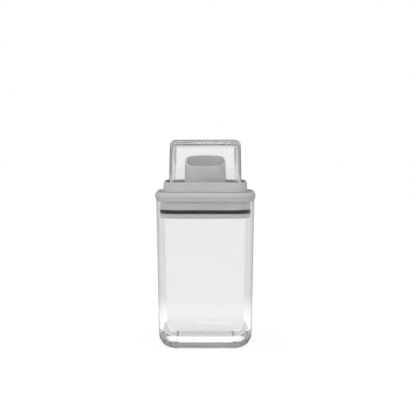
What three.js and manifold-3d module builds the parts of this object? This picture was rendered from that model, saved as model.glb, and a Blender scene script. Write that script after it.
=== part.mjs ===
import * as THREE from "three";
import { mergeVertices, toCreasedNormals } from "three/addons/utils/BufferGeometryUtils.js";
import Module from "manifold-3d";

// A square kitchen container with a pour spout. A clear jar takes a lid of two mouldings, whose skirt
// plugs into the mouth and carries a gasket. A slanted round spout stands on the lid inside a square
// collar, and a clear measuring cup stands upside down over the spout and closes it.
// Sizes are millimetres, +Z is up, the front is -Y, and the origin is the middle of the foot.

// Plan of every square piece: its corners turn about four centres, this far from both middle planes
const cornerCentre = 24.5;

// Jar
const jarHeight = 145;
const jarMouthWidth = 96.2;
const jarDraft = 1.05; // degrees that each side leans in towards the foot
const jarWall = 2.9;
const jarFloor = 5;
const jarHeel = 13.5; // radius round the outside of the bottom
const jarInsideHeel = 12; // radius round the inside of the bottom
const jarRimRound = 0.5;
const footHeight = 3; // depth of the hollow under the floor
const footFlat = 3.2; // width of the ring that the jar stands on
const footSlope = 2; // how far the inner side of that ring leans in
const footRound = 1.2;

// Lid flange, which covers the rim of the jar
const flangeOverhang = 1.3; // of its widest line over the rim of the jar
const coverHeight = 5; // upper moulding, from the seam to the top plate
const coverLean = 3; // degrees that its side leans in over the widest line
const coverRound = 2.5; // radius round the edge of the top plate
const bulgeRise = 1.2; // from the seam up to the widest line
const bulgeRound = 2;
const lipHeight = 3.3; // lower moulding, from the rim of the jar to the seam
const lipTuck = 1.4; // how far its foot lies inside the widest line
const lipRound = 0.4;
const seamRound = 0.4; // eases both sides of the seam, which leaves a fine groove
const lidWall = 2;

// Rib on the lower moulding that locates the upper one
const ribHeight = 1.4;
const ribWidth = 1.8;
const ribTaper = 0.7;
const ribFit = 0.3;

// Skirt that plugs into the jar, with the groove of its gasket
const skirtDepth = 16.6;
const skirtFit = 0.8;
const skirtRound = 0.7;
const grooveDrop = 8.5; // from the rim of the jar down to the groove
const grooveHeight = 3.4;
const grooveDepth = 1.8;
const grooveChamfer = 0.4;
const gasketFit = 0.1; // above and below the gasket
const gasketClearance = 0.3; // from either gasket to the wall that it faces
const gasketLipHeight = 1.2;
const gasketValley = 0.5; // depth of the valley between the two lips of the gasket
const gasketRound = 0.4;

// Collar round the cup
const collarGap = 3.3; // from the rim of the cup to the collar
const collarWall = 2;
const collarHeight = 10;
const collarDraft = 1.2; // degrees
const collarRound = 0.8;
const collarFoot = 0.5;

// Pour spout
const spoutDiameter = 41.5;
const spoutWall = 1.8;
const spoutDraft = 1; // degrees
const spoutFrontHeight = 25;
const spoutBackHeight = 35.1;
const spoutRound = 0.7;
const spoutFoot = 0.8;
const spoutDrip = 0.8; // how far the spout reaches below the top plate

// Ring inside the mouth of the cup, with its gasket
const ringFit = 0.8;
const ringWall = 1.6; // behind the groove
const ringHeight = 5.4;
const ringRound = 0.5;
const ringGrooveRise = 2; // from the top plate up to the groove
const ringGrooveHeight = 2.2;
const ringGrooveDepth = 1.2;
const cupGasketRound = 0.7;

// Measuring cup, upside down
const cupHeight = 50.7;
const cupMouthWidth = 71.6;
const cupDraft = 1.3; // degrees
const cupWall = 2.75;
const cupBase = 4.3;
const cupHeel = 4.5;
const cupInsideHeel = 3;
const cupRimRound = 0.6;

// Facets
const cornerFacets = 10; // in each corner of a square piece
const roundFacets = 64; // round the spout
const facetError = 0.08; // how far a facet of a profile may leave the true curve

const { MathUtils, Vector2 } = THREE;
const wasm = await Module();
wasm.setup();

const leanOver = (height, degrees) => height * Math.tan(MathUtils.degToRad(degrees));

// Heights over the rim of the jar, which is where the lid is seated
const plateTop = lipHeight + coverHeight;
const plateUnderside = plateTop - lidWall;
const plateMiddle = plateTop - lidWall / 2;

// Half widths. The jar is given by its height over the foot, and the cup by its height over its rim.
const jarHalf = (z) => jarMouthWidth / 2 - leanOver(jarHeight - z, jarDraft);
const jarInsideHalf = (z) => jarHalf(z) - jarWall;
const cupHalf = (z) => cupMouthWidth / 2 - leanOver(z, cupDraft);
const cupInsideHalf = (z) => cupHalf(z) - cupWall;
const flangeHalf = jarMouthWidth / 2 + flangeOverhang;
const seamHalf = flangeHalf - (lipTuck * bulgeRise) / (bulgeRise + lipHeight);
const coverInsideHalf = seamHalf - lidWall;
const skirtHalf = jarInsideHalf(jarHeight - skirtDepth) - skirtFit;
const grooveHalf = skirtHalf - grooveDepth;
const collarInsideHalf = cupMouthWidth / 2 + collarGap;
const ringHalf = cupInsideHalf(0) - ringFit;
const ringGrooveHalf = ringHalf - ringGrooveDepth;

// Profile points from its corners, each given as half width, height and radius. A rounding gives way
// where two of them would need more than the side that they share. A profile that stays clear of the
// axis closes on itself.
function outline(corners) {
  const at = corners.map(([across, up]) => new Vector2(across, up));
  const radii = corners.map(([, , radius = 0]) => radius);
  const count = corners.length;
  const toward = (i, j) => at[(j + count) % count].clone().sub(at[i]);
  const halfAngle = at.map((_, i) => {
    const turn = toward(i, i - 1).normalize().dot(toward(i, i + 1).normalize());
    return Math.acos(MathUtils.clamp(turn, -1, 1)) / 2;
  });
  const reach = radii.map((radius, i) => (radius ? radius / Math.tan(halfAngle[i]) : 0));
  const share = (i, j) => toward(i, j).length() / (reach[i] + reach[(j + count) % count]);
  const points = at.flatMap((corner, i) => {
    if (!radii[i]) return [corner];
    const length = reach[i] * Math.min(1, share(i, i - 1), share(i, i + 1));
    return arc(corner, toward(i, i - 1), toward(i, i + 1), length, halfAngle[i]);
  });
  const loop = points.filter((point, i) => !i || point.distanceTo(points[i - 1]) > 1e-4);
  return loop[0].x > 0 ? [...loop, loop[0].clone()] : loop;
}

// The arc that touches both sides of a corner, the given length away from it
function arc(corner, before, after, length, halfAngle) {
  const radius = length * Math.tan(halfAngle);
  const start = corner.clone().addScaledVector(before.normalize(), length);
  const end = corner.clone().addScaledVector(after.normalize(), length);
  const inward = before.clone().add(after).normalize();
  const centre = corner.clone().addScaledVector(inward, length / Math.cos(halfAngle));
  const from = start.clone().sub(centre).angle();
  const to = end.clone().sub(centre).angle();
  const clockwise = before.cross(after) > 0;
  const steps = Math.ceil((Math.PI - 2 * halfAngle) / Math.sqrt((8 * facetError) / radius));
  const curve = new THREE.EllipseCurve(centre.x, centre.y, radius, radius, from, to, clockwise);
  return curve.getPoints(Math.max(2, steps));
}

// A closed geometry as a solid that can be joined and cut
function solidOf(geometry) {
  geometry.deleteAttribute("normal");
  geometry.deleteAttribute("uv");
  const merged = mergeVertices(geometry);
  const corners = merged.index.array;
  const kept = [];
  for (let i = 0; i < corners.length; i += 3) {
    const [a, b, c] = corners.slice(i, i + 3);
    if (a !== b && b !== c && c !== a) kept.push(a, b, c);
  }
  const vertProperties = merged.attributes.position.array;
  const triVerts = new Uint32Array(kept);
  return new wasm.Manifold(new wasm.Mesh({ numProp: 3, vertProperties, triVerts }));
}

// A profile turned round the upright axis
function turned(corners) {
  return new THREE.LatheGeometry(outline(corners), roundFacets).rotateX(Math.PI / 2);
}

// A profile carried round a square with rounded corners: a turned geometry whose four quarters are
// drawn apart to the corner centres, so that every profile point keeps its distance to the sides
function squareSolid(corners) {
  const points = outline(corners);
  const columnsInQuarter = cornerFacets + 1;
  const columns = 4 * columnsInQuarter;
  const geometry = new THREE.LatheGeometry(points, columns);
  const position = geometry.attributes.position;
  for (let i = 0; i < position.count; i++) {
    const column = Math.floor(i / points.length) % columns;
    const half = points[i % points.length].x;
    const quarter = Math.floor(column / columnsInQuarter);
    const angle = ((quarter + (column % columnsInQuarter) / cornerFacets) * Math.PI) / 2;
    const middle = ((quarter + 0.5) * Math.PI) / 2;
    const core = Math.min(half, cornerCentre);
    position.setX(i, core * Math.sign(Math.sin(middle)) + (half - core) * Math.sin(angle));
    position.setZ(i, core * Math.sign(Math.cos(middle)) + (half - core) * Math.cos(angle));
  }
  return solidOf(geometry.rotateX(Math.PI / 2));
}

function makeJar() {
  const floorTop = footHeight + jarFloor;
  const footOutside = jarHalf(0) - jarHeel;
  return squareSolid([
    [0, footHeight],
    [footOutside - footFlat - footSlope, footHeight, footRound],
    [footOutside - footFlat, 0, footRound],
    [jarHalf(0), 0, jarHeel],
    [jarHalf(jarHeight), jarHeight, jarRimRound],
    [jarInsideHalf(jarHeight), jarHeight, jarRimRound],
    [jarInsideHalf(floorTop), floorTop, jarInsideHeel],
    [0, floorTop],
  ]);
}

// Upper moulding of the lid: the top plate with its turned-down side
function makeCoverShell() {
  return squareSolid([
    [0, plateUnderside],
    [coverInsideHalf, plateUnderside, coverRound - lidWall],
    [coverInsideHalf, lipHeight],
    [seamHalf, lipHeight, seamRound],
    [flangeHalf, lipHeight + bulgeRise, bulgeRound],
    [flangeHalf - leanOver(coverHeight - bulgeRise, coverLean), plateTop, coverRound],
    [0, plateTop],
  ]);
}

function makeCollar() {
  const outsideHalf = collarInsideHalf + collarWall;
  const top = plateTop + collarHeight;
  return squareSolid([
    [collarInsideHalf, plateMiddle],
    [outsideHalf + collarFoot, plateMiddle],
    [outsideHalf + collarFoot, plateTop],
    [outsideHalf, plateTop, collarFoot],
    [outsideHalf - leanOver(collarHeight, collarDraft), top, collarRound],
    [collarInsideHalf, top, collarRound],
  ]);
}

function makeLocatingRing() {
  const insideHalf = ringGrooveHalf - ringWall;
  const grooveBottom = plateTop + ringGrooveRise;
  const grooveTop = grooveBottom + ringGrooveHeight;
  return squareSolid([
    [insideHalf, plateMiddle],
    [ringHalf, plateMiddle],
    [ringHalf, grooveBottom],
    [ringGrooveHalf, grooveBottom],
    [ringGrooveHalf, grooveTop],
    [ringHalf, grooveTop],
    [ringHalf, plateTop + ringHeight, ringRound],
    [insideHalf, plateTop + ringHeight, ringRound],
  ]);
}

// The spout is turned level, and then its rim is laid over towards the front
function makeSpout() {
  const radius = spoutDiameter / 2;
  const rimHeight = (spoutFrontHeight + spoutBackHeight) / 2;
  const rimRadius = radius - leanOver(rimHeight, spoutDraft);
  const slope = (spoutBackHeight - spoutFrontHeight) / (2 * rimRadius);
  const bottom = plateUnderside - spoutDrip;
  const tube = turned([
    [radius - spoutWall, bottom],
    [radius, bottom, spoutRound],
    [radius, plateMiddle],
    [radius + spoutFoot, plateMiddle],
    [radius + spoutFoot, plateTop],
    [radius, plateTop, spoutFoot],
    [rimRadius, plateTop + rimHeight, spoutRound],
    [rimRadius - spoutWall, plateTop + rimHeight, spoutRound],
  ]);
  const position = tube.attributes.position;
  for (let i = 0; i < position.count; i++) {
    const z = position.getZ(i);
    if (z > plateTop + rimHeight / 2) position.setZ(i, z + slope * position.getY(i));
  }
  return solidOf(tube);
}

function makeLidCover() {
  const holeRadius = (spoutDiameter - spoutWall) / 2;
  const hole = turned([
    [0, plateUnderside - lidWall],
    [holeRadius, plateUnderside - lidWall],
    [holeRadius, plateTop + lidWall],
    [0, plateTop + lidWall],
  ]);
  const square = makeCoverShell().add(makeCollar()).add(makeLocatingRing());
  return square.subtract(solidOf(hole)).add(makeSpout());
}

// Lower moulding of the lid: the lip on the rim of the jar, the rib that locates the upper moulding,
// and the skirt, whose wall steps in behind the gasket groove so that it stays one thickness
function makeLidPlug() {
  const ribHalf = coverInsideHalf - ribFit;
  const insideHalf = skirtHalf - lidWall;
  const stepHalf = grooveHalf - lidWall;
  const grooveTop = -grooveDrop;
  const grooveBottom = grooveTop - grooveHeight;
  const stepOver = lidWall / 2;
  return squareSolid([
    [insideHalf, -skirtDepth, skirtRound],
    [skirtHalf, -skirtDepth, skirtRound],
    [skirtHalf, grooveBottom - grooveChamfer],
    [skirtHalf - grooveChamfer, grooveBottom],
    [grooveHalf, grooveBottom],
    [grooveHalf, grooveTop],
    [skirtHalf - grooveChamfer, grooveTop],
    [skirtHalf, grooveTop + grooveChamfer],
    [skirtHalf, 0],
    [flangeHalf - lipTuck, 0, lipRound],
    [seamHalf, lipHeight, seamRound],
    [ribHalf, lipHeight],
    [ribHalf - ribTaper, lipHeight + ribHeight],
    [ribHalf - ribWidth, lipHeight + ribHeight],
    [ribHalf - ribWidth, lipHeight],
    [insideHalf, lipHeight, skirtRound],
    [insideHalf, grooveTop + stepOver + grooveDepth],
    [stepHalf, grooveTop + stepOver],
    [stepHalf, grooveBottom - stepOver],
    [insideHalf, grooveBottom - stepOver - grooveDepth],
  ]);
}

// Gasket of the plug, with two lips that wipe the wall of the jar
function makeLidGasket() {
  const bottom = gasketFit - grooveDrop - grooveHeight;
  const top = -grooveDrop - gasketFit;
  const lipHalf = jarInsideHalf(jarHeight + bottom) - gasketClearance;
  return squareSolid([
    [grooveHalf, bottom],
    [lipHalf, bottom, gasketRound],
    [lipHalf, bottom + gasketLipHeight, gasketRound],
    [lipHalf - gasketValley, (bottom + top) / 2, gasketRound],
    [lipHalf, top - gasketLipHeight, gasketRound],
    [lipHalf, top, gasketRound],
    [grooveHalf, top],
  ]);
}

// Gasket of the locating ring, which grips the inside of the cup
function makeCupGasket() {
  const bottom = ringGrooveRise + gasketFit;
  const top = ringGrooveRise + ringGrooveHeight - gasketFit;
  const outsideHalf = cupInsideHalf(top) - gasketClearance;
  return squareSolid([
    [ringGrooveHalf, plateTop + bottom],
    [outsideHalf, plateTop + bottom, cupGasketRound],
    [outsideHalf, plateTop + top, cupGasketRound],
    [ringGrooveHalf, plateTop + top],
  ]);
}

function makeMeasuringCup() {
  const floor = cupHeight - cupBase;
  return squareSolid([
    [0, floor],
    [cupInsideHalf(floor), floor, cupInsideHeel],
    [cupInsideHalf(0), 0, cupRimRound],
    [cupHalf(0), 0, cupRimRound],
    [cupHalf(cupHeight), cupHeight, cupHeel],
    [0, cupHeight],
  ]);
}

const clearPlastic = () =>
  new THREE.MeshStandardMaterial({
    color: 0xf1f3f3,
    roughness: 0.05,
    metalness: 0,
    transparent: true,
    opacity: 0.25,
  });

const greyPlastic = () =>
  new THREE.MeshStandardMaterial({ color: 0xb6b6b6, roughness: 0.45, metalness: 0 });

const blackSilicone = () =>
  new THREE.MeshStandardMaterial({ color: 0x1b1b1b, roughness: 0.6, metalness: 0 });

function piece(name, solid, material) {
  const { vertProperties, triVerts } = solid.getMesh();
  const geometry = new THREE.BufferGeometry();
  geometry.setAttribute("position", new THREE.BufferAttribute(vertProperties, 3));
  geometry.setIndex(new THREE.BufferAttribute(triVerts, 1));
  const mesh = new THREE.Mesh(toCreasedNormals(geometry, Math.PI / 6), material);
  mesh.name = name;
  return mesh;
}

const cup = new THREE.Group();
cup.position.z = plateTop;
cup.add(piece("measuring_cup", makeMeasuringCup(), clearPlastic()));

const lid = new THREE.Group();
lid.position.z = jarHeight;
lid.add(piece("lid_cover", makeLidCover(), greyPlastic()));
lid.add(piece("lid_plug", makeLidPlug(), greyPlastic()));
lid.add(piece("lid_gasket", makeLidGasket(), blackSilicone()));
lid.add(piece("cup_gasket", makeCupGasket(), blackSilicone()));
lid.add(cup);

const container = new THREE.Group();
container.name = "square_spout_container";
container.add(piece("jar", makeJar(), clearPlastic()));
container.add(lid);

export default container;
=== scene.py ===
# %% [markdown]
# A square kitchen container with a pour spout, as a lesson in modelling with bmesh.
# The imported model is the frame: it holds every piece at its real size and place, as coarse facets. Here
# each piece is modelled again with fine curves over its own solid, and gets the finish of the real one.
# Blender works in metres, and the sizes of this object are easier to read in millimetres, so every size
# below is written in millimetres and turned to metres by MM.

# %% Load the frame
import math

import bmesh
import bpy
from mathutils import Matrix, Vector


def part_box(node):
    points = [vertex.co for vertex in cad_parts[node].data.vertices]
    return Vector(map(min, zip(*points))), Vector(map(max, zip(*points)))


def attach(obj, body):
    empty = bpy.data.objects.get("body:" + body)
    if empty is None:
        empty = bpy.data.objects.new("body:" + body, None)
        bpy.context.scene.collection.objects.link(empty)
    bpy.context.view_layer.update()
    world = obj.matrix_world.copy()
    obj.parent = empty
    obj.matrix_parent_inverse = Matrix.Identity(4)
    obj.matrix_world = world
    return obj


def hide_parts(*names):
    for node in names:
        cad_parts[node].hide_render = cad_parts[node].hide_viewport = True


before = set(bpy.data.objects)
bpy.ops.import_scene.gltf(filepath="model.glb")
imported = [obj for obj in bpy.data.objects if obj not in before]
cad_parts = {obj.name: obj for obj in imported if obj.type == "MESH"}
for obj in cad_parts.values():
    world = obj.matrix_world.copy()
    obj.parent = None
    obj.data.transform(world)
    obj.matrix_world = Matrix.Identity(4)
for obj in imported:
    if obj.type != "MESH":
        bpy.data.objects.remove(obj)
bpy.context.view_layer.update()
MM = 0.001
print("pieces in the frame:", sorted(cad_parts))

# %% [markdown]
# Nearly every piece here is a profile carried round a square with rounded corners. A turned shape would
# be made with spin, but spin only knows circles. So a circle of points is made once, its four quarters
# are drawn apart to the corner centres, and the ring is extruded from corner to corner of the profile.
# Each point remembers its place in the ring in a layer, so that it can be set down again after every
# extrusion. Corner centres that stay put are what a mould maker does too: all walls stay parallel.

# %% A ring of points that can be round or square
CORNER_CENTRE = 24.5
CORNER_STEPS = 24
ROUND_INSIDE = 23.0


def place_on_ring(place, half, height):
    """A point of the ring, in millimetres: half is the half width, or the radius near the axis."""
    quarter, step = divmod(place, CORNER_STEPS + 1)
    angle = (quarter + step / CORNER_STEPS) * math.pi / 2
    middle = (quarter + 0.5) * math.pi / 2
    core = CORNER_CENTRE if half > ROUND_INSIDE else 0.0
    across = core * math.copysign(1, math.cos(middle)) + (half - core) * math.cos(angle)
    along = core * math.copysign(1, math.sin(middle)) + (half - core) * math.sin(angle)
    return Vector((across, along, height)) * MM


print("points in a ring:", 4 * (CORNER_STEPS + 1))

# %% [markdown]
# The profile is given by its corners alone, each with a half width, a height and a radius. The rings are
# extruded sharp, and each one that has a radius is then rounded with bevel. Bevel wants the distance from
# the edge to where the rounding starts, which follows from the radius and the angle of the corner.

# %% Carry a profile round the ring
SMALL_RADIUS = 1.5
SMALL_STEPS = 4
LARGE_STEPS = 10


def setback(before, corner, after):
    """How far from the corner its rounding starts, in millimetres."""
    one = Vector(before[:2]) - Vector(corner[:2])
    other = Vector(after[:2]) - Vector(corner[:2])
    return corner[2] / math.tan(one.angle(other) / 2)


def extrude_ring(bm, edges, layer, corner):
    """Extrudes the ring to a corner of the profile and returns the edges of the new ring."""
    made = bmesh.ops.extrude_edge_only(bm, edges=edges)["geom"]
    points = {item for item in made if isinstance(item, bmesh.types.BMVert)}
    for point in points:
        point.co = place_on_ring(point[layer], corner[0], corner[1])
    return [e for e in made if isinstance(e, bmesh.types.BMEdge) and points.issuperset(e.verts)]


def carry_profile(corners, closed):
    """A closed profile makes a ring, and an open one starts and ends at the axis."""
    bm = bmesh.new()
    layer = bm.verts.layers.int.new("place")
    count = 4 * (CORNER_STEPS + 1)
    points = bmesh.ops.create_circle(bm, cap_ends=False, segments=count, radius=MM)["verts"]
    for place, point in enumerate(points):
        point[layer] = place
        point.co = place_on_ring(place, corners[0][0], corners[0][1])
    rings = [list(bm.edges)]
    for corner in corners[1:]:
        rings.append(extrude_ring(bm, rings[-1], layer, corner))
    if closed:
        bmesh.ops.bridge_loops(bm, edges=rings[0] + rings[-1])
    else:
        bmesh.ops.contextual_create(bm, geom=rings[0])
        bmesh.ops.contextual_create(bm, geom=rings[-1])
    for i, corner in enumerate(corners):
        if corner[2]:
            before = corners[i - 1] if closed or i else (0, corner[1])
            after = corners[(i + 1) % len(corners)] if closed or i + 1 < len(corners) else (0, corner[1])
            bmesh.ops.bevel(
                bm,
                geom=rings[i],
                offset=setback(before, corner, after) * MM,
                offset_type="OFFSET",
                segments=SMALL_STEPS if corner[2] < SMALL_RADIUS else LARGE_STEPS,
                profile=0.5,
                affect="EDGES",
                material=-1,
                clamp_overlap=False,
            )
    return bm


print("steps of a rounding:", SMALL_STEPS, "under a radius of", SMALL_RADIUS, "mm, or else", LARGE_STEPS)

# %% [markdown]
# A finished mesh has its doubled points merged and its faces turned outwards. It is shaded smooth, but
# edges that are sharp on the real moulding stay sharp. A weighted normal modifier lets the large flat
# walls keep their exact direction, so that nothing seen through them is bent by the shading.

# %% Turn a bmesh into a piece
MERGE = 0.002
SHARP = math.radians(35)


def finish_piece(name, bm, node, body, material):
    """Makes the object, lets it ride the body and take the place of the node, which it hides."""
    bmesh.ops.remove_doubles(bm, verts=bm.verts, dist=MERGE * MM)
    bmesh.ops.recalc_face_normals(bm, faces=bm.faces)
    for face in bm.faces:
        face.smooth = True
    for edge in bm.edges:
        edge.smooth = edge.calc_face_angle(0) < SHARP
    mesh = bpy.data.meshes.new(name)
    bm.to_mesh(mesh)
    bm.free()
    mesh.materials.append(material)
    piece = bpy.data.objects.new(name, mesh)
    bpy.context.scene.collection.objects.link(piece)
    normals = piece.modifiers.new("flat walls stay flat", "WEIGHTED_NORMAL")
    normals.mode = "FACE_AREA"
    normals.keep_sharp = True
    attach(piece, body)
    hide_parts(node)
    dimensions = [round(d / MM, 2) for d in piece.dimensions]
    print(name, "has", len(mesh.polygons), "faces, size in mm:", dimensions)


print("an edge is sharp from", round(math.degrees(SHARP)), "degrees")

# %% [markdown]
# Materials come before the pieces that wear them. Colours are written as sRGB hex values, as one reads
# them off a picture, and the shader wants linear light, so one function turns them over. Another adds a
# node and fills its inputs. Every moulded surface here is a little uneven in one way or another, so two
# more make a noise of a given size, and let it vary the roughness and raise the surface.

# %% Colour and node helpers
def linear(hex_value):
    """Turns a hex value into red, green, blue and full alpha, in linear light."""
    channels = [int(hex_value[i : i + 2], 16) / 255 for i in (1, 3, 5)]
    return [c / 12.92 if c <= 0.04045 else ((c + 0.055) / 1.055) ** 2.4 for c in channels] + [1.0]


def add_node(tree, kind, inputs=None, **settings):
    """Adds a node. Each input, by name or number, is a value or a socket of another node."""
    node = tree.nodes.new(kind)
    for key, value in settings.items():
        setattr(node, key, value)
    for key, value in (inputs or {}).items():
        if isinstance(value, bpy.types.NodeSocket):
            tree.links.new(value, node.inputs[key])
        else:
            node.inputs[key].default_value = value
    return node


def new_material(name):
    """A material that holds only its principled shader, and that shader's node tree."""
    material = bpy.data.materials.new(name)
    material.use_nodes = True
    tree = material.node_tree
    return material, tree, tree.nodes["Principled BSDF"]


def add_noise(tree, size, detail=2.0):
    """A noise in the object's own coordinates, with patches of about the size, in millimetres."""
    place = add_node(tree, "ShaderNodeTexCoord")
    inputs = {"Vector": place.outputs["Object"], "Scale": 1 / (size * MM), "Detail": detail}
    return add_node(tree, "ShaderNodeTexNoise", inputs).outputs["Fac"]


def make_uneven(tree, shader, noise, smooth, rough, height):
    """The noise takes the roughness from smooth to rough, and raises the surface, in millimetres."""
    spread = add_node(tree, "ShaderNodeMapRange", {"Value": noise, "To Min": smooth, "To Max": rough})
    tree.links.new(spread.outputs["Result"], shader.inputs["Roughness"])
    bump = add_node(tree, "ShaderNodeBump", {"Height": noise, "Distance": height * MM})
    tree.links.new(bump.outputs["Normal"], shader.inputs["Normal"])


def colour_between(tree, shader, noise, dark, light):
    """The noise takes the colour of the surface from dark to light."""
    ends = {"Factor": noise, "A": linear(dark), "B": linear(light)}
    colour = add_node(tree, "ShaderNodeMix", ends, data_type="RGBA")
    tree.links.new(colour.outputs["Result"], shader.inputs["Base Color"])


print("sRGB #808080 in linear light:", round(linear("#808080")[0], 3))

# %% [markdown]
# The jar and the cup are clear styrene plastic, moulded in a polished mould. It bends what is seen through
# the thick corners and the heel into dark and bright lines. Its index of refraction is typically 1.59, and
# was lowered to 1.51 to bring those lines closer to the photo. The plastic takes up almost no light on the
# way through. The polish isn't perfect: the flow of the plastic leaves a faint unevenness, some
# centimetres long, and a trace of haze.

# %% Clear styrene, polished
FLOW_LENGTH = 30.0
FLOW_HEIGHT = 0.001


def clear_styrene():
    material, tree, shader = new_material("clear styrene, polished")
    shader.inputs["Base Color"].default_value = linear("#fefefe")
    shader.inputs["Transmission Weight"].default_value = 1.0
    shader.inputs["IOR"].default_value = 1.51
    make_uneven(tree, shader, add_noise(tree, FLOW_LENGTH), 0.004, 0.012, FLOW_HEIGHT)
    return material


clear = clear_styrene()
print("made", clear.name)

# %% [markdown]
# The lid is light grey polypropylene. Its mould is left with a fine satin grain, which spreads the
# highlights softly and hides scratches. Polypropylene also shows faint clouds where it cooled.

# %% Grey polypropylene, satin
GRAIN = 0.35
GRAIN_HEIGHT = 0.012
CLOUD = 9.0


def grey_polypropylene():
    material, tree, shader = new_material("grey polypropylene, satin")
    colour_between(tree, shader, add_noise(tree, CLOUD, 3.0), "#b6b6b6", "#bdbdbd")
    make_uneven(tree, shader, add_noise(tree, GRAIN), 0.38, 0.5, GRAIN_HEIGHT)
    shader.inputs["IOR"].default_value = 1.49
    return material


grey = grey_polypropylene()
print("made", grey.name)

# %% [markdown]
# The gaskets are black silicone rubber. Its skin is dusted with fine powder, which lifts the black a
# little and takes away nearly all its sheen. The index of refraction is the typical 1.41, and the
# specular level, usually 0.5, is set low for the missing sheen.

# %% Black silicone, matt
POWDER = 0.5
POWDER_HEIGHT = 0.01


def black_silicone():
    material, tree, shader = new_material("black silicone, matt")
    powder = add_noise(tree, POWDER, 4.0)
    colour_between(tree, shader, powder, "#0e0e0e", "#171717")
    make_uneven(tree, shader, powder, 0.5, 0.65, POWDER_HEIGHT)
    shader.inputs["IOR"].default_value = 1.41
    shader.inputs["Specular IOR Level"].default_value = 0.12
    return material


black = black_silicone()
print("made", black.name)

# %% [markdown]
# The jar is one clear moulding. Its sides lean in a degree towards the foot so that it comes out of the
# mould, its heel is rounded outside and inside, and the floor is hollowed underneath, which leaves a ring
# to stand on. The profile runs from the hollow outwards, up the outside, over the rim and down inside.

# %% Jar
JAR_DRAFT = math.radians(1.05)
JAR_WALL = 2.9
JAR_FLOOR = 5.0
FOOT_HEIGHT = 3.0
FOOT_FLAT = 3.2
FOOT_SLOPE = 2.0
HEEL = 13.5
INSIDE_HEEL = 12.0
FLOOR_CAP_INSET = 4.0
AIR_GAP = 0.03  # between pieces that lie on each other, so that their faces don't coincide

jar_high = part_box("jar")[1] / MM
jar_rim = jar_high.z - AIR_GAP


def jar_half(height):
    return jar_high.x - (jar_high.z - height) * math.tan(JAR_DRAFT)


def jar_inside_half(height):
    return jar_half(height) - JAR_WALL


floor_top = FOOT_HEIGHT + JAR_FLOOR
foot_outside = jar_half(0) - HEEL
foot_inside = foot_outside - FOOT_FLAT
hollow_half = foot_inside - FOOT_SLOPE
jar_profile = [
    (hollow_half, FOOT_HEIGHT, 1.2),
    (foot_inside, 0.0, 1.2),
    (jar_half(0), 0.0, HEEL),
    (jar_half(jar_rim), jar_rim, 0.5),
    (jar_inside_half(jar_rim), jar_rim, 0.5),
    (jar_inside_half(floor_top), floor_top, INSIDE_HEEL),
]
# the rounding of the inner heel ends well outside this last ring, so the cap of the floor is flat
jar_profile.append((hollow_half - FLOOR_CAP_INSET, floor_top, 0))
jar_bm = carry_profile(jar_profile, closed=False)
finish_piece("clear_jar", jar_bm, "jar", "jar", clear)

# %% [markdown]
# The upper moulding of the lid is one surface as well, although its spout is round and the rest is
# square: points nearer to the axis than ROUND_INSIDE go onto a circle, and the change happens in the flat
# top plate, where it doesn't show. The profile goes up the side with its widest line, across the plate,
# up and down the collar and the ring that locates the cup, up the outside of the spout, down its bore,
# and back underneath. A fine groove runs round the foot of the collar: it draws the thin dark line that
# sets the collar off from the plate. At the end the rim of the spout is swept down from the back to the
# front, in a line that is steepest at the sides: hyperbolic tangent has that shape.

# %% Upper moulding of the lid
LID_WALL = 2.0
BULGE_RISE = 1.2
BULGE_ROUND = 2.0
COVER_LEAN = math.radians(3)
COVER_ROUND = 2.5
LIP_HEIGHT = 3.3
LIP_TUCK = 1.4
SEAM_ROUND = 0.2
COLLAR_GAP = 3.3
COLLAR_WALL = 2.0
COLLAR_HEIGHT = 10.0
COLLAR_DRAFT = 0.2
FOOT_GROOVE_DEPTH = 0.5
FOOT_GROOVE_HEIGHT = 0.6
CUP_WALL = 2.75
RING_FIT = 0.8
RING_GROOVE_DEPTH = 1.2
RING_WALL = 1.6
RING_HEIGHT = 5.4
RING_GROOVE_RISE = 2.0
RING_GROOVE_HEIGHT = 2.2
SPOUT_RADIUS = 20.75
SPOUT_WALL = 1.8
SPOUT_DRAFT = math.radians(1)
SPOUT_FRONT = 25.0
SPOUT_BACK = 35.1
SPOUT_SWEEP = 1.9
SPOUT_DRIP = 0.8

plug_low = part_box("lid_plug")[0] / MM
cover_low, cover_high = (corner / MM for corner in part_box("lid_cover"))
cup_low, cup_high = (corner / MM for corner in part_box("measuring_cup"))
flange_half = cover_high.x
seam = cover_low.z
plate_top = cup_low.z
plate_under = plate_top - LID_WALL
bulge = seam + BULGE_RISE
seam_half = flange_half - LIP_TUCK * BULGE_RISE / (BULGE_RISE + LIP_HEIGHT)
cover_side = seam_half - LID_WALL
collar_inside = cup_high.x + COLLAR_GAP
collar_outside = collar_inside + COLLAR_WALL
collar_top = plate_top + COLLAR_HEIGHT
foot_groove = plate_top + FOOT_GROOVE_HEIGHT
ring_outside = cup_high.x - CUP_WALL - RING_FIT
ring_seat = ring_outside - RING_GROOVE_DEPTH
ring_inside = ring_seat - RING_WALL
ring_top = plate_top + RING_HEIGHT
groove_bottom = plate_top + RING_GROOVE_RISE
groove_top = groove_bottom + RING_GROOVE_HEIGHT
spout_level = plate_top + (SPOUT_FRONT + SPOUT_BACK) / 2
rim_radius = SPOUT_RADIUS - (spout_level - plate_top) * math.tan(SPOUT_DRAFT)
drip = plate_under - SPOUT_DRIP

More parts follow.
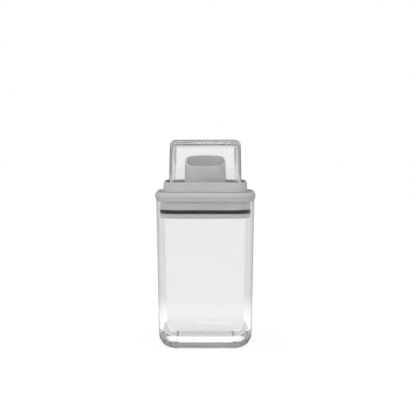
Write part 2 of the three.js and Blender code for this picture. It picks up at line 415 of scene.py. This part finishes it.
cover_profile = [
    (cover_side, seam, 0),
    (seam_half, seam, SEAM_ROUND),
    (flange_half, bulge, BULGE_ROUND),
    (flange_half - (plate_top - bulge) * math.tan(COVER_LEAN), plate_top, COVER_ROUND),
    (collar_outside - FOOT_GROOVE_DEPTH, plate_top, 0),
    (collar_outside - FOOT_GROOVE_DEPTH, foot_groove, 0),
    (collar_outside, foot_groove, 0.3),
    (collar_outside - COLLAR_DRAFT, collar_top, 0.8),
    (collar_inside, collar_top, 0.8),
    (collar_inside, plate_top, 0.4),
    (ring_outside, plate_top, 0.4),
    (ring_outside, groove_bottom, 0),
    (ring_seat, groove_bottom, 0),
    (ring_seat, groove_top, 0),
    (ring_outside, groove_top, 0),
    (ring_outside, ring_top, 0.5),
    (ring_inside, ring_top, 0.5),
    (ring_inside, plate_top, 0.4),
    (SPOUT_RADIUS, plate_top, 0.8),
    (rim_radius, spout_level, 0.7),
    (rim_radius - SPOUT_WALL, spout_level, 0.7),
    (SPOUT_RADIUS - SPOUT_WALL, drip, 0),
    (SPOUT_RADIUS, drip, 0.5),
    (SPOUT_RADIUS, plate_under, 0),
    (cover_side, plate_under, 0.5),
]
cover_bm = carry_profile(cover_profile, closed=True)
half_rise = (SPOUT_BACK - SPOUT_FRONT) / 2
rim_above = plate_top + SPOUT_FRONT / 2
for point in cover_bm.verts:
    if point.co.xy.length < ROUND_INSIDE * MM and point.co.z > rim_above * MM:
        along = math.tanh(SPOUT_SWEEP * point.co.y / MM / rim_radius) / math.tanh(SPOUT_SWEEP)
        point.co.z += half_rise * along * MM
finish_piece("grey_lid_cover", cover_bm, "lid_cover", "lid", grey)

# %% [markdown]
# The lower moulding carries the lip on the rim of the jar and the skirt with the groove of the gasket.
# The wall steps in behind the groove, as it does on a real moulding, where a thick spot would sink. A
# small rib stands up inside the upper moulding and centres it.

# %% Lower moulding of the lid
GROOVE_DROP = 8.5
GROOVE_HEIGHT = 3.4
GROOVE_DEPTH = 1.8
GROOVE_CHAMFER = 0.4
SKIRT_FIT = 0.8
STEP_OVERLAP = 1.0
RIB_FIT = 0.3
RIB_CHAMFER = 0.7
RIB_WIDTH = 1.8
RIB_HEIGHT = 1.4

lip_under = jar_high.z
skirt_end = plug_low.z
skirt_half = jar_inside_half(skirt_end) - SKIRT_FIT
skirt_inside = skirt_half - LID_WALL
gasket_seat = skirt_half - GROOVE_DEPTH
step_half = gasket_seat - LID_WALL
skirt_groove_top = lip_under - GROOVE_DROP
skirt_groove_bottom = skirt_groove_top - GROOVE_HEIGHT
step_top = skirt_groove_top + STEP_OVERLAP
step_bottom = skirt_groove_bottom - STEP_OVERLAP
plug_top = seam - AIR_GAP
rib_half = cover_side - RIB_FIT
rib_top = seam + RIB_HEIGHT
plug_profile = [
    (skirt_inside, skirt_end, 0.7),
    (skirt_half, skirt_end, 0.7),
    (skirt_half, skirt_groove_bottom - GROOVE_CHAMFER, 0),
    (skirt_half - GROOVE_CHAMFER, skirt_groove_bottom, 0),
    (gasket_seat, skirt_groove_bottom, 0),
    (gasket_seat, skirt_groove_top, 0),
    (skirt_half - GROOVE_CHAMFER, skirt_groove_top, 0),
    (skirt_half, skirt_groove_top + GROOVE_CHAMFER, 0),
    (skirt_half, lip_under, 0),
    (flange_half - LIP_TUCK, lip_under, 0.4),
    (seam_half, plug_top, SEAM_ROUND),
    (rib_half, plug_top, 0),
    (rib_half - RIB_CHAMFER, rib_top, 0),
    (rib_half - RIB_WIDTH, rib_top, 0),
    (rib_half - RIB_WIDTH, plug_top, 0),
    (skirt_inside, plug_top, 0.7),
    (skirt_inside, step_top + GROOVE_DEPTH, 0),
    (step_half, step_top, 0),
    (step_half, step_bottom, 0),
    (skirt_inside, step_bottom - GROOVE_DEPTH, 0),
]
plug_bm = carry_profile(plug_profile, closed=True)
finish_piece("grey_lid_plug", plug_bm, "lid_plug", "lid", grey)

# %% [markdown]
# The gasket of the skirt has two lips with a shallow valley between them, and the one in the mouth of the
# cup is a plain ring with a rounded outside. Both take their place from the frame.

# %% Gaskets
GASKET_LIP = 1.2
GASKET_VALLEY = 0.5

seal_low, seal_high = (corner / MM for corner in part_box("lid_gasket"))
ring_low, ring_high = (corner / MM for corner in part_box("cup_gasket"))
seal_middle = (seal_low.z + seal_high.z) / 2
seal_profile = [
    (gasket_seat + AIR_GAP, seal_low.z, 0),
    (seal_high.x, seal_low.z, 0.4),
    (seal_high.x, seal_low.z + GASKET_LIP, 0.3),
    (seal_high.x - GASKET_VALLEY, seal_middle, 0),
    (seal_high.x, seal_high.z - GASKET_LIP, 0.3),
    (seal_high.x, seal_high.z, 0.4),
    (gasket_seat + AIR_GAP, seal_high.z, 0),
]
seal_bm = carry_profile(seal_profile, closed=True)
finish_piece("black_lid_gasket", seal_bm, "lid_gasket", "lid", black)

ring_profile = [
    (ring_seat + AIR_GAP, ring_low.z, 0),
    (ring_high.x, ring_low.z, 0.7),
    (ring_high.x, ring_high.z, 0.7),
    (ring_seat + AIR_GAP, ring_high.z, 0),
]
ring_bm = carry_profile(ring_profile, closed=True)
finish_piece("black_cup_gasket", ring_bm, "cup_gasket", "lid", black)

# %% [markdown]
# The measuring cup is the same kind of clear moulding as the jar, upside down: its thick base is on top,
# with a rounded heel, and its rim stands on the lid.

# %% Measuring cup
CUP_DRAFT = math.radians(1.3)
CUP_BASE = 4.3
CUP_HEEL = 4.5
CUP_INSIDE_HEEL = 3.0
CUP_CAP = 25.0

cup_rim = cup_low.z + AIR_GAP
cup_floor = cup_high.z - CUP_BASE


def cup_half(height):
    return cup_high.x - (height - cup_low.z) * math.tan(CUP_DRAFT)


cup_profile = [
    (CUP_CAP, cup_floor, 0),
    (cup_half(cup_floor) - CUP_WALL, cup_floor, CUP_INSIDE_HEEL),
    (cup_half(cup_rim) - CUP_WALL, cup_rim, 0.6),
    (cup_half(cup_rim), cup_rim, 0.6),
    (cup_half(cup_high.z), cup_high.z, CUP_HEEL),
    (CUP_CAP, cup_high.z, 0),
]
cup_bm = carry_profile(cup_profile, closed=False)
finish_piece("clear_measuring_cup", cup_bm, "measuring_cup", "cup", clear)

# %% [markdown]
# Clear plastic shows its form by the dark edges that it borrows from the room. So the stage is lit as
# glass is lit in a studio: all that lies behind the object is nearly white, and the room that its surfaces
# mirror is dimmer. Which of the two a ray finds is told by its count of mirrorings, so the plastic looks
# alike from every side: rays that only pass through it see white, and rays that were thrown back inside
# it, at the edges and in the heel, see the room. The darkest level is kept for what the outside of a
# surface mirrors, or a veil would lie over the black gasket.

# %% What is seen through the plastic and in it
MIRRORED_OUTSIDE = 0.1


def mix_levels(tree, factor, first, second):
    """The first level where the factor is 0, and the second where it is 1."""
    inputs = {"Factor": factor, "A": first, "B": second}
    return add_node(tree, "ShaderNodeMix", inputs, data_type="FLOAT").outputs["Result"]


def calculate(tree, operation, first, second, clamp=False):
    """One sum, product or the like of two levels."""
    inputs = {0: first, 1: second}
    return add_node(tree, "ShaderNodeMath", inputs, operation=operation, use_clamp=clamp).outputs[0]


def seen_level(tree, path, through, mirrored):
    """The level for rays that passed through the plastic, or that it mirrored on their way."""
    thrown_back = calculate(tree, "MINIMUM", path["Glossy Depth"], 1.0)
    level = mix_levels(tree, thrown_back, through, mirrored)
    # a ray that passes through polished plastic counts as glossy too
    outside = calculate(tree, "SUBTRACT", path["Is Glossy Ray"], path["Is Transmission Ray"], clamp=True)
    return mix_levels(tree, outside, level, MIRRORED_OUTSIDE)


print("level that the outside of a surface mirrors:", MIRRORED_OUTSIDE)

# %% [markdown]
# The floor is a sweep of white paper. Part of its white is the light that falls on it, so that it takes a
# faint shadow, and the rest is its own glow. Seen through the plastic that glow is turned down, as a
# painted shadow of the object, darkest under the jar. What the plastic mirrors of it is a painted pool of
# light: its glow is bright close by, and dims further off to about the level of the room. It also throws
# light up at the matt surfaces, as white paper does.

# %% Floor
FLOOR_HALF_WIDTH = 6000.0
FLOOR_GLOW = 0.86
FLOOR_BOUNCE = 0.5
# painted shadow: the glow seen through the plastic is turned down, and more within the jar's footprint
FLOOR_THROUGH_PAINTED_SHADE = 0.65
PAINTED_SHADOW_UNDER_JAR = 0.62
PAINTED_SHADOW_FADE = (35.0, 50.0)
# painted pool of light: what the plastic mirrors of the floor is brighter close to the object
MIRRORED_NEAR_PAINTED_LIGHT = 0.95
MIRRORED_FAR_PAINTED_LIGHT = 0.45
PAINTED_LIGHT_FADE = (120.0, 400.0)


def fade_outwards(tree, distance, reach, near, far):
    """A level that goes softly from near to far, between the two distances of the reach."""
    inputs = {"Value": distance, "To Min": near, "To Max": far}
    inputs["From Min"] = reach[0] * MM
    inputs["From Max"] = reach[1] * MM
    fade = add_node(tree, "ShaderNodeMapRange", inputs, interpolation_type="SMOOTHSTEP")
    return fade.outputs["Result"]


def white_floor():
    material, tree, shader = new_material("matt white paper sweep")
    shader.inputs["Base Color"].default_value = linear("#6c6c6c")
    shader.inputs["Roughness"].default_value = 0.9
    path = add_node(tree, "ShaderNodeLightPath").outputs
    place = add_node(tree, "ShaderNodeTexCoord").outputs["Object"]
    distance = add_node(tree, "ShaderNodeVectorMath", {0: place}, operation="LENGTH").outputs["Value"]
    # painted shadow of the object in the glow seen through the plastic, darkest under the jar
    through = fade_outwards(tree, distance, PAINTED_SHADOW_FADE, PAINTED_SHADOW_UNDER_JAR, FLOOR_THROUGH_PAINTED_SHADE)
    # painted pool of light round the object, seen only in mirrorings
    mirrored = fade_outwards(tree, distance, PAINTED_LIGHT_FADE, MIRRORED_NEAR_PAINTED_LIGHT, MIRRORED_FAR_PAINTED_LIGHT)
    level = seen_level(tree, path, through, mirrored)
    level = mix_levels(tree, path["Is Diffuse Ray"], level, FLOOR_BOUNCE)
    level = mix_levels(tree, path["Is Camera Ray"], level, FLOOR_GLOW)
    shader.inputs["Emission Color"].default_value = (1, 1, 1, 1)
    tree.links.new(level, shader.inputs["Emission Strength"])
    return material


floor_bm = bmesh.new()
bmesh.ops.create_grid(floor_bm, x_segments=1, y_segments=1, size=FLOOR_HALF_WIDTH * MM)
bmesh.ops.translate(floor_bm, vec=Vector((0, 0, -AIR_GAP)) * MM, verts=floor_bm.verts)
floor_mesh = bpy.data.meshes.new("floor")
floor_bm.to_mesh(floor_mesh)
floor_bm.free()
floor_mesh.materials.append(white_floor())
floor = bpy.data.objects.new("floor", floor_mesh)
bpy.context.scene.collection.objects.link(floor)
print("floor in mm:", [round(d / MM) for d in floor.dimensions])

# %% [markdown]
# The world is white where the camera looks at it. Matt surfaces get a soft light from all round, which is
# stronger from the front, a little to the left, as from a large window. Solid clear plastic keeps back a
# good part of that light, which it doesn't on the real object, where light also finds its way in along
# the walls. So matt surfaces under the plastic get as much more as the plastic keeps back.

# %% World
ROOM_LIGHT = 0.94
ROOM_LIGHT_UNDER_PLASTIC = 1.7
ROOM_THROUGH = 0.95
ROOM_MIRRORED = 0.36
BRIGHT_SIDE = Vector((-0.35, -0.9, 0.2)).normalized()
BRIGHT_SIDE_GAIN = 0.55


def matt_light(tree, path):
    """The light on matt surfaces, which comes mostly from the bright side."""
    inputs = {"Value": path["Transmission Depth"], "To Min": ROOM_LIGHT, "To Max": ROOM_LIGHT_UNDER_PLASTIC}
    under_plastic = add_node(tree, "ShaderNodeMapRange", inputs).outputs["Result"]
    inputs = {0: add_node(tree, "ShaderNodeTexCoord").outputs["Generated"], 1: BRIGHT_SIDE}
    facing = add_node(tree, "ShaderNodeVectorMath", inputs, operation="DOT_PRODUCT").outputs["Value"]
    inputs = {"Value": facing, "From Min": -1.0}
    inputs["To Min"] = 1 - BRIGHT_SIDE_GAIN
    inputs["To Max"] = 1 + BRIGHT_SIDE_GAIN
    gain = add_node(tree, "ShaderNodeMapRange", inputs).outputs["Result"]
    return calculate(tree, "MULTIPLY", under_plastic, gain)


world = bpy.data.worlds.new("white studio")
bpy.context.scene.world = world
world.use_nodes = True
sky_tree = world.node_tree
background = sky_tree.nodes["Background"]
background.inputs["Color"].default_value = (1, 1, 1, 1)
sky_path = add_node(sky_tree, "ShaderNodeLightPath").outputs
from_matt = calculate(sky_tree, "MINIMUM", sky_path["Diffuse Depth"], 1.0)
sky_level = seen_level(sky_tree, sky_path, ROOM_THROUGH, ROOM_MIRRORED)
sky_level = mix_levels(sky_tree, from_matt, sky_level, matt_light(sky_tree, sky_path))
sky_level = mix_levels(sky_tree, sky_path["Is Camera Ray"], sky_level, 1.0)
sky_tree.links.new(sky_level, background.inputs["Strength"])
print("room light", ROOM_LIGHT, "and under the plastic", ROOM_LIGHT_UNDER_PLASTIC)

# %% [markdown]
# One long, narrow soft box hangs high up in front, a touch to the right. It is weak, so it hardly lights
# the matt lid. It is there for the short bright bars that the rounded heel of the jar mirrors. Its place
# is given as it would be set up in a studio: by the angle to the right, the angle up and the distance.

# %% Soft box
STRIP_RIGHT = math.radians(2)
STRIP_UP = math.radians(53)
STRIP_DISTANCE = 1200.0
STRIP_SIZE = (92.0, 420.0)
STRIP_WATTS = 0.75

strip_light = bpy.data.lights.new("strip", "AREA")
strip_light.shape = "RECTANGLE"
strip_light.size = STRIP_SIZE[0] * MM
strip_light.size_y = STRIP_SIZE[1] * MM
strip_light.energy = STRIP_WATTS
strip = bpy.data.objects.new("strip", strip_light)
sideways = math.sin(STRIP_RIGHT) * math.cos(STRIP_UP)
forwards = -math.cos(STRIP_RIGHT) * math.cos(STRIP_UP)
away = Vector((sideways, forwards, math.sin(STRIP_UP)))
strip.location = (Vector((0, 0, jar_high.z)) + away * STRIP_DISTANCE) * MM
strip.rotation_euler = (-away).to_track_quat("-Z", "Y").to_euler()
bpy.context.scene.collection.objects.link(strip)
print("the soft box hangs", round(strip.location.z / MM), "mm above the floor")

# %% [markdown]
# A ray that enters a thick corner of clear plastic is thrown back many times inside before it finds its
# way out. With the dozen bounces that Cycles allows at first such rays are dropped, and the heel of the
# jar turns black. More bounces cost little here, because few rays need them.

# %% Bounces for thick plastic
BOUNCES = 64

cycles = bpy.context.scene.cycles
cycles.max_bounces = BOUNCES
cycles.transmission_bounces = BOUNCES
cycles.glossy_bounces = BOUNCES
print("bounces:", cycles.max_bounces)

# %% [markdown]
# The camera stands a little over a metre in front, just higher than the top of the object, and looks down
# on it by a few degrees. Its height and distance follow from the ovals of the rims in the picture.

# %% Camera
CAMERA_DISTANCE = 1250.0
CAMERA_HEIGHT = 216.0
FOCAL_PIXELS = 1250.0
PICTURE_PIXELS = 416.0
SENSOR = 36.0
AIM = Vector((2.7, 0.0, 136.0))

camera_data = bpy.data.cameras.new("camera")
camera_data.sensor_width = SENSOR
camera_data.lens = FOCAL_PIXELS / PICTURE_PIXELS * SENSOR
camera = bpy.data.objects.new("camera", camera_data)
camera.location = Vector((0, -CAMERA_DISTANCE, CAMERA_HEIGHT)) * MM
camera.rotation_euler = (AIM * MM - camera.location).to_track_quat("-Z", "Y").to_euler()
bpy.context.scene.collection.objects.link(camera)
bpy.context.scene.camera = camera
print("lens in mm:", round(camera_data.lens, 1))

# %% [markdown]
# The picture is shown as plain sRGB, so that a colour comes out as it is written.

# %% Finish
bpy.context.scene.view_settings.view_transform = "Standard"
